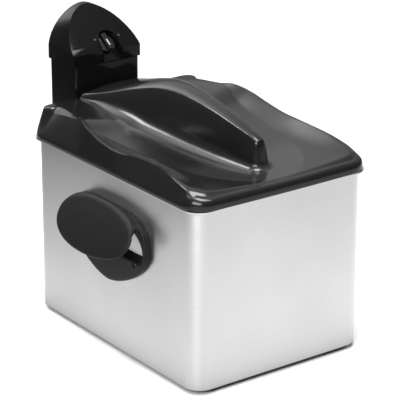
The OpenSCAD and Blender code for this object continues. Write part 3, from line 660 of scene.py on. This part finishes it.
# ------------------------------------------------------------------ basket
def bend_path(pts, rad, closed=False, k=5):
    """straight runs joined by quarter turns"""
    out = []
    n = len(pts)
    for i in range(n):
        p = np.array(pts[i], float)
        if not closed and i in (0, n - 1):
            out.append(p)
            continue
        a, b = np.array(pts[i - 1], float) - p, np.array(pts[(i + 1) % n], float) - p
        a, b = a / np.linalg.norm(a), b / np.linalg.norm(b)
        for t in np.linspace(0, math.pi / 2, k + 1):
            out.append(p + rad * (a * (1 - math.sin(t)) + b * (1 - math.cos(t))))
    return np.array(out)


def wire(P, r, plane, closed=False, n=8):
    """skin of a wire along a path that lies in a plane with the given normal"""
    N = np.array(plane, float)
    T = np.roll(P, -1, 0) - np.roll(P, 1, 0) if closed else np.gradient(P, axis=0)
    T /= np.linalg.norm(T, axis=1, keepdims=True)
    B = np.cross(T, N)
    a = np.linspace(0, 2 * math.pi, n, endpoint=False)
    V = P[:, None, :] + r * (np.cos(a)[None, :, None] * B[:, None, :] + np.sin(a)[None, :, None] * N)
    m = len(P)
    F = []
    for k in range(m if closed else m - 1):
        q = (k + 1) % m
        for i in range(n):
            j = (i + 1) % n
            F.append((k * n + i, k * n + j, q * n + j, q * n + i))
    if not closed:
        F += [tuple(range(n))[::-1], tuple((m - 1) * n + i for i in range(n))]
    return V.reshape(-1, 3), F


def build_basket():
    WR, yc, hw, hl, z0, z1 = 0.6, -44.0, 85.5, 115.5, 72.0, 198.0
    parts = []
    xi, yi = hw - 2.9 * WR, hl - 2.9 * WR
    for y in np.linspace(-98, 98, 29):
        parts.append(wire(bend_path([(-xi, yc + y, z1), (-xi, yc + y, z0 + 2.9 * WR), (xi, yc + y, z0 + 2.9 * WR), (xi, yc + y, z1)], 6.0), WR, (0, 1, 0)))
    for x in np.linspace(-68, 68, 21):
        parts.append(wire(bend_path([(x, yc - yi, z1), (x, yc - yi, z0 + WR), (x, yc + yi, z0 + WR), (x, yc + yi, z1)], 6.5), WR, (1, 0, 0)))
    xo, yo = hw - WR, hl - WR
    for z in np.linspace(z0 + 7.5, z1 - 0.9, 18):
        parts.append(wire(bend_path([(xo, yc - yo, z), (xo, yc + yo, z), (-xo, yc + yo, z), (-xo, yc - yo, z)], 16.0, True, 9), WR, (0, 0, 1), True))
    for sx in (-1, 1):
        for sy in (-1, 1):
            for a in (22.5, 45.0, 67.5):
                r = 16.0 - 1.9 * WR
                x = sx * (xo - 16.0 + r * math.cos(math.radians(a)))
                y = yc + sy * (yo - 16.0 + r * math.sin(math.radians(a)))
                parts.append(wire(np.array([(x, y, z0 + 7.2), (x, y, z1 - 0.1)]), WR, (1, 0, 0)))
    verts, faces, off = [], [], 0
    for V, F in parts:
        verts.append(V)
        faces += [tuple(i + off for i in f) for f in F]
        off += len(V)
    ob = new_obj("basket_mesh", np.concatenate(verts), faces, M["basket_wire"])
    bm = bmesh.new()
    bm.from_mesh(ob.data)
    bmesh.ops.recalc_face_normals(bm, faces=bm.faces)
    bm.to_mesh(ob.data)
    bm.free()
    sharp_by_angle(ob, 60)
    return ob


finish_piece(build_basket(), "basket", "basket_wire", "basket_floor", "basket_front", "basket_back", "basket_left",
             "basket_right", "basket_corners")

# ------------------------------------------------------------------ control head
HY0, HY1, HZS, HOZ, HHW, HOR = 143.8, 199.2, 275.5, 289.7, 46.2, 47.2
S2 = math.sqrt(0.5)
KX, KY = 7.5, 13.5


def prism(pts, y0, y1):
    """solid between two copies of an outline in the XZ plane"""
    bm = bmesh.new()
    a = [bm.verts.new((x * MM, y0 * MM, z * MM)) for x, z in pts]
    b = [bm.verts.new((x * MM, y1 * MM, z * MM)) for x, z in pts]
    bm.faces.new(a)
    bm.faces.new(b[::-1])
    n = len(pts)
    for i in range(n):
        j = (i + 1) % n
        bm.faces.new((a[j], a[i], b[i], b[j]))
    bmesh.ops.recalc_face_normals(bm, faces=bm.faces)
    return bm


def round_edges(bm, width, deg=35, pick=None, segs=3):
    ed = [e for e in bm.edges if len(e.link_faces) == 2 and e.calc_face_angle(0.0) > math.radians(deg) and (pick is None or pick(e))]
    bmesh.ops.bevel(bm, geom=ed, offset=width * MM, segments=segs, profile=0.5, affect="EDGES", clamp_overlap=True)
    return bm


def slope_solid(pts, h0, h1):
    """prism square to the sloped face, over an outline given in its own x and y"""
    bm = bmesh.new()
    lo, hi = [], []
    for x, y in pts:
        for h, out in ((h0, lo), (h1, hi)):
            out.append(bm.verts.new(Vector((x, HY0 + (y - h) * S2, HOZ + (y + h) * S2)) * MM))
    bm.faces.new(lo)
    bm.faces.new(hi[::-1])
    n = len(pts)
    for i in range(n):
        j = (i + 1) % n
        bm.faces.new((lo[j], lo[i], hi[i], hi[j]))
    bmesh.ops.recalc_face_normals(bm, faces=bm.faces)
    return bm


def block(lo, hi):
    bm = bmesh.new()
    bmesh.ops.create_cube(bm, size=1.0)
    for v in bm.verts:
        v.co = Vector([(lo[i] + hi[i]) / 2 + v.co[i] * (hi[i] - lo[i]) for i in range(3)]) * MM
    return bm


def rod(a, b, r, n=40):
    a, b = Vector(a), Vector(b)
    bm = bmesh.new()
    bmesh.ops.create_cone(bm, cap_ends=True, segments=n, radius1=r * MM, radius2=r * MM, depth=(b - a).length * MM)
    bmesh.ops.transform(bm, matrix=Matrix.Translation((a + b) / 2 * MM) @ (b - a).to_track_quat("Z", "Y").to_matrix().to_4x4(), verts=bm.verts)
    return bm


def combine(ob, bm, op="DIFFERENCE"):
    other = from_bm("tool", bm, smooth=False)
    mod = ob.modifiers.new("b", "BOOLEAN")
    mod.object = other
    mod.operation = op
    mod.solver = "EXACT"
    apply_mods(ob)
    bpy.data.objects.remove(other)


def arch_outline(g, z0):
    """right to left over the top: the hood's arch, straighter at its shoulders than a circle"""
    a, b = HOR - g, HOR - 0.2 - g
    t = np.linspace(0, math.pi, 61)
    x = a * np.sign(np.cos(t)) * np.abs(np.cos(t)) ** (2 / 1.74)
    z = HOZ + b * np.abs(np.sin(t)) ** (2 / 1.74)
    return [(a, z0)] + list(zip(x, z)) + [(-a, z0)]


def pocket_outline(r):
    t = np.linspace(0, math.pi, 41)
    return [(KX + r * math.cos(a), KY + r * math.sin(a)) for a in t] + [(KX - r, -30.0), (KX + r, -30.0)]


def sloped(g, z0, y0, y1, off):
    """the arch between two planes, without what is more than off above the sloped face"""
    ob = from_bm("sloped", prism(arch_outline(g, z0), y0, y1), smooth=False)
    combine(ob, slope_solid([(-90, -60), (90, -60), (90, 130), (-90, 130)], off, 110))
    return ob


def build_hood():
    hood = sloped(0.0, HZS + 0.05, HY0 + 0.05, HY1, -0.05)
    ob = sloped(2.5, HZS - 2.0, HY0 + 2.4, HY1 - 2.4, -2.4)
    combine(ob, slope_solid(pocket_outline(14.6), -11.6, 9.0))
    mod = hood.modifiers.new("b", "BOOLEAN")
    mod.object = ob
    mod.operation = "DIFFERENCE"
    mod.solver = "EXACT"
    apply_mods(hood)
    bpy.data.objects.remove(ob)
    combine(hood, slope_solid(pocket_outline(12.9), -9.6, 14.0))

    def sp(x, y, h):
        return (x, HY0 + (y - h) * S2, HOZ + (y + h) * S2)

    combine(hood, rod(sp(KX, KY, -16), sp(KX, KY, -4), 5.0))
    for x in (-9.8, 23.8):
        combine(hood, rod(sp(x, 16.5, -6), sp(x, 16.5, 4), 1.56, 24))
    bm = bmesh.new()
    bm.from_mesh(hood.data)
    bmesh.ops.remove_doubles(bm, verts=bm.verts, dist=0.00001)
    bmesh.ops.dissolve_limit(bm, angle_limit=0.002, verts=bm.verts, edges=bm.edges)

    def outer(e):
        m = (e.verts[0].co + e.verts[1].co) / 2 / MM
        arch = (abs(m.x) / HOR) ** 1.74 + (max(m.z - HOZ, 0) / HOR) ** 1.74
        return arch > 0.965 or (abs(m.y - HY0) < 0.2 and abs(m.z - HOZ) < 0.4)

    round_edges(bm, 1.3, 35, lambda e: outer(e) and max(v.co.z for v in e.verts) > (HZS + 1.0) * MM)
    bm.to_mesh(hood.data)
    bm.free()
    hood.data.update()
    hood.name = "hood"
    sharp_by_angle(hood, 40)
    return hood


def build_casing():
    r = 5.5
    pts = []
    for cx, cy, a0 in ((HHW - r, (HY1 - HY0) / 2 - r, 0), (-HHW + r, (HY1 - HY0) / 2 - r, 90), (-HHW + r, -(HY1 - HY0) / 2 + r, 180), (HHW - r, -(HY1 - HY0) / 2 + r, 270)):
        for k in range(9):
            a = math.radians(a0 + k * 11.25)
            pts.append((cx + r * math.cos(a), cy + r * math.sin(a)))
    ym = (HY0 + HY1) / 2

    def column(scale_in, z0, z1):
        bm = bmesh.new()
        q = []
        for x, y in pts:
            q.append((x * (HHW - scale_in) / HHW, ym + y * ((HY1 - HY0) / 2 - scale_in) / ((HY1 - HY0) / 2)))
        lo = [bm.verts.new((x * MM, y * MM, z0 * MM)) for x, y in q]
        hi = [bm.verts.new((x * MM, y * MM, z1 * MM)) for x, y in q]
        bm.faces.new(lo[::-1])
        bm.faces.new(hi)
        n = len(q)
        for i in range(n):
            j = (i + 1) % n
            bm.faces.new((lo[i], lo[j], hi[j], hi[i]))
        bmesh.ops.recalc_face_normals(bm, faces=bm.faces)
        return bm

    bm = round_edges(column(0.0, 168.0, HZS - 0.05), 1.0, 60)
    ob = from_bm("casing", bm)
    combine(ob, block((-30.4, 130.7, 176), (30.4, HY0 + 1, 205)), "UNION")
    combine(ob, column(2.4, 170.4, HZS + 2))
    combine(ob, block((-27, 133, 170.6), (27, HY0 + 3, 202.6)))
    combine(ob, block((-38, HY1 - 3.4, 180), (38, HY1 + 1, 268)))
    for x, r1, z0, z1, y in ((-25, 7.05, 160, 176, 178), (24, 3.05, 160, 176, 178)):
        combine(ob, rod((x, y, z0), (x, y, z1), r1, 48))
    for x in (-20, 20):
        combine(ob, rod((x, 140, 222), (x, 150, 222), 4.2))
    for x in (-8, 8):
        combine(ob, rod((x, 140, 222), (x, 150, 222), 1.3, 20))
    sharp_by_angle(ob, 40)
    return ob


finish_piece(build_hood(), "head", "head_gloss", "head_cover")
finish_piece(build_casing(), "head", "head_gloss", "head_casing")


def soften(name, width, deg=40, segs=2):
    """small rounded edges on a node that is shown as it is"""
    ob = NODES[name]
    md = ob.modifiers.new("weld", "WELD")
    md.merge_threshold = 0.00002
    md = ob.modifiers.new("round", "BEVEL")
    md.width = width * MM
    md.segments = segs
    md.limit_method = "ANGLE"
    md.angle_limit = math.radians(deg)
    md.harden_normals = True


for nm, wd in (("knob_bezel", 0.35), ("control_knob", 0.5), ("handle_grip", 1.6), ("cord_gland", 0.6)):
    soften(nm, wd)

# ------------------------------------------------------------------ studio
floor_mat = make_mat("floor", (0.93, 0.93, 0.93), 0.85, grain=60.0, var=0.004, spec=0.1)
fl = new_obj("floor", [(-6000, -6000, -0.3), (6000, -6000, -0.3), (6000, 6000, -0.3), (-6000, 6000, -0.3)], [(0, 1, 2, 3)], floor_mat, smooth=False)
fl.visible_glossy = False


class Graph:
    """Small helper that wires value maths in a node tree."""

    def __init__(self, nt):
        self.nt = nt

    def put(self, node, sock, v):
        if isinstance(v, (int, float)):
            node.inputs[sock].default_value = v
        else:
            self.nt.links.new(v, node.inputs[sock])

    def m(self, op, a, b=0.0, clamp=False):
        n = self.nt.nodes.new("ShaderNodeMath")
        n.operation = op
        n.use_clamp = clamp
        self.put(n, 0, a)
        self.put(n, 1, b)
        return n.outputs[0]

    def dot(self, v, c):
        n = self.nt.nodes.new("ShaderNodeVectorMath")
        n.operation = "DOT_PRODUCT"
        self.nt.links.new(v, n.inputs[0])
        n.inputs[1].default_value = c
        return n.outputs["Value"]

    def xyz(self, v):
        n = self.nt.nodes.new("ShaderNodeSeparateXYZ")
        self.nt.links.new(v, n.inputs[0])
        return n.outputs

    def curve(self, x, pts):
        """smooth lookup of x through (position, value) pairs"""
        lo, hi = pts[0][0], pts[-1][0]
        top = max(p[1] for p in pts)
        r = self.nt.nodes.new("ShaderNodeMapRange")
        r.inputs["From Min"].default_value = lo
        r.inputs["From Max"].default_value = hi
        self.put(r, "Value", x)
        c = self.nt.nodes.new("ShaderNodeFloatCurve")
        self.nt.links.new(r.outputs[0], c.inputs["Value"])
        cm = c.mapping
        cu = cm.curves[0]
        cu.points[0].location = (0.0, pts[0][1] / top)
        cu.points[1].location = (1.0, pts[-1][1] / top)
        for q in pts[1:-1]:
            cu.points.new((q[0] - lo) / (hi - lo), q[1] / top)
        cm.update()
        return self.m("MULTIPLY", c.outputs[0], top)


# painted sheen: the oval floor round the nose of the lid's ridge gets a lighter base colour standing in for the
# reflection it catches; the rest of the lid's colour is scaled to 0.65
lt = M["lid_gloss"].node_tree
lg = Graph(lt)
lx = lg.xyz(next(n for n in lt.nodes if n.type == "TEX_COORD").outputs["Object"])
ex = lg.m("DIVIDE", lx[0], 0.082)
ey = lg.m("DIVIDE", lg.m("MINIMUM", lg.m("ADD", lx[1], 0.075), 0.0), 0.117)
oval = lg.curve(lg.m("SQRT", lg.m("ADD", lg.m("MULTIPLY", ex, ex), lg.m("MULTIPLY", ey, ey))), [(0.0, 1.0), (0.975, 1.0), (0.99, 0.0), (3.0, 0.0)])
low = lg.curve(lx[2], [(0.20, 1.0), (0.232, 1.0), (0.237, 0.0), (0.30, 0.0)])
fore = lg.curve(lx[1], [(-0.21, 1.0), (-0.13, 1.0), (-0.09, 0.0), (0.2, 0.0)])
painted_sheen_patch = lg.m("MULTIPLY", oval, lg.m("MULTIPLY", low, fore))
scale_in = next(n for n in lt.nodes if n.type == "VECT_MATH" and n.operation == "SCALE").inputs["Scale"]
grain_out = scale_in.links[0].from_socket
# painted sheen: the lid's colour times 1.65 inside the oval, times 0.65 outside it
lt.links.new(lg.m("MULTIPLY", grain_out, lg.m("ADD", lg.m("MULTIPLY", painted_sheen_patch, 1.0), 0.65)), scale_in)

# what the polished and brushed surfaces see in the table, a glowing plane hidden from the camera: bright beside the
# object, dimmer to the back left, with a painted shadow darkening it round the object's footprint
gm = bpy.data.materials.new("table_reflection")
gm.use_nodes = True
gt = gm.node_tree
for n in list(gt.nodes):
    gt.nodes.remove(n)
go = gt.nodes.new("ShaderNodeOutputMaterial")
ge = gt.nodes.new("ShaderNodeEmission")
gt.links.new(ge.outputs[0], go.inputs[0])
gc = gt.nodes.new("ShaderNodeTexCoord")
g = Graph(gt)
gu = g.dot(gc.outputs["Object"], (-0.6, 0.8, 0.0))
tone = g.curve(gu, [(-1.5, 0.7), (-0.9, 0.85), (-0.62, 0.96), (-0.36, 1.16), (-0.15, 1.05), (0.1, 1.0), (0.3, 0.85), (0.44, 0.66),
                    (0.57, 0.52), (0.68, 0.40), (0.9, 0.14), (1.5, 0.06)])
gx = g.xyz(gc.outputs["Object"])
ax = g.m("MAXIMUM", g.m("SUBTRACT", g.m("ABSOLUTE", gx[0]), 0.110), 0.0)
ay = g.m("MAXIMUM", g.m("SUBTRACT", g.m("ABSOLUTE", g.m("ADD", gx[1], 0.034)), 0.150), 0.0)
ad = g.m("SQRT", g.m("ADD", g.m("MULTIPLY", ax, ax), g.m("MULTIPLY", ay, ay)))
# painted contact shadow: the table reflection dimmed to 0.25 at the footprint's edge, back to full strength within 0.12
# m
painted_contact_shadow = g.curve(ad, [(0.0, 0.25), (0.01, 0.45), (0.03, 0.8), (0.07, 0.97), (0.12, 1.0)])
gt.links.new(g.m("MULTIPLY", tone, painted_contact_shadow), ge.inputs["Strength"])
gf = new_obj("table_reflection", [(-4000, -4000, -0.4), (4000, -4000, -0.4), (4000, 4000, -0.4), (-4000, 4000, -0.4)], [(0, 1, 2, 3)], gm, smooth=False)
gf.visible_camera = False
gf.visible_diffuse = False
gf.visible_transmission = False
gf.visible_volume_scatter = False
gf.visible_shadow = False


def area(name, direction, dist, size, size_y, radiance, target=(0, -0.03, 0.2)):
    """soft box in a direction from the object, by its radiance"""
    ld = bpy.data.lights.new(name, "AREA")
    ld.shape = "RECTANGLE"
    ld.size, ld.size_y = size, size_y
    ld.energy = radiance * size * size_y * math.pi
    ob = bpy.data.objects.new(name, ld)
    scene.collection.objects.link(ob)
    loc = Vector(target) + Vector(direction).normalized() * dist
    d = Vector(target) - loc
    ob.matrix_world = Matrix.Translation(loc) @ d.to_track_quat("-Z", "Y").to_matrix().to_4x4()
    return ob


area("overhead", (0.02, -0.10, 1.0), 1.7, 0.85, 0.85, 13.0)
area("top_edge", (-0.36, 0.42, 0.83), 2.0, 0.66, 0.32, 19.0)
area("key_left", (-0.71, -0.50, 0.48), 2.0, 1.25, 0.95, 7.6)

world = bpy.data.worlds.new("studio")
scene.world = world
world.use_nodes = True
wn = world.node_tree
for n in list(wn.nodes):
    wn.nodes.remove(n)
wo = wn.nodes.new("ShaderNodeOutputWorld")
bg = wn.nodes.new("ShaderNodeBackground")
wn.links.new(bg.outputs[0], wo.inputs[0])
wtc = wn.nodes.new("ShaderNodeTexCoord")
w = Graph(wn)
wz = w.xyz(wtc.outputs["Generated"])[2]
lobe = w.curve(w.dot(wtc.outputs["Generated"], (0.52, 0.76, 0.39)), [(0.3, 0.0), (0.6, 0.12), (0.8, 0.45), (0.92, 0.8), (1.0, 1.0)])
rise = w.curve(wz, [(-1.0, 0.12), (0.0, 0.12), (0.15, 0.22), (0.26, 0.5), (0.36, 0.95), (0.6, 1.0), (1.0, 1.0)])
ambient = w.curve(wz, [(-1.0, 0.2), (0.0, 0.14), (0.3, 0.16), (0.6, 0.22), (0.85, 0.5), (1.0, 0.7)])
window = w.curve(w.dot(wtc.outputs["Generated"], (-0.20, 0.74, 0.64)), [(0.6, 0.0), (0.75, 0.03), (0.85, 0.15), (0.92, 0.45), (0.97, 0.85), (1.0, 1.0)])
side = w.curve(w.xyz(wtc.outputs["Generated"])[0], [(-1.0, 0.0), (-0.38, 0.0), (-0.30, 0.1), (-0.2, 0.6), (-0.1, 1.0), (1.0, 1.0)])
total = w.m("ADD", w.m("MULTIPLY", w.m("MULTIPLY", lobe, rise), 0.52), w.m("ADD", ambient, w.m("MULTIPLY", w.m("MULTIPLY", window, side), 3.1)))
wn.links.new(total, bg.inputs[1])
bg.inputs[0].default_value = (1, 1, 1, 1)
scene.view_settings.view_transform = "Standard"
scene.view_settings.look = "None"
scene.view_settings.exposure = 0.0
scene.view_settings.gamma = 1.0
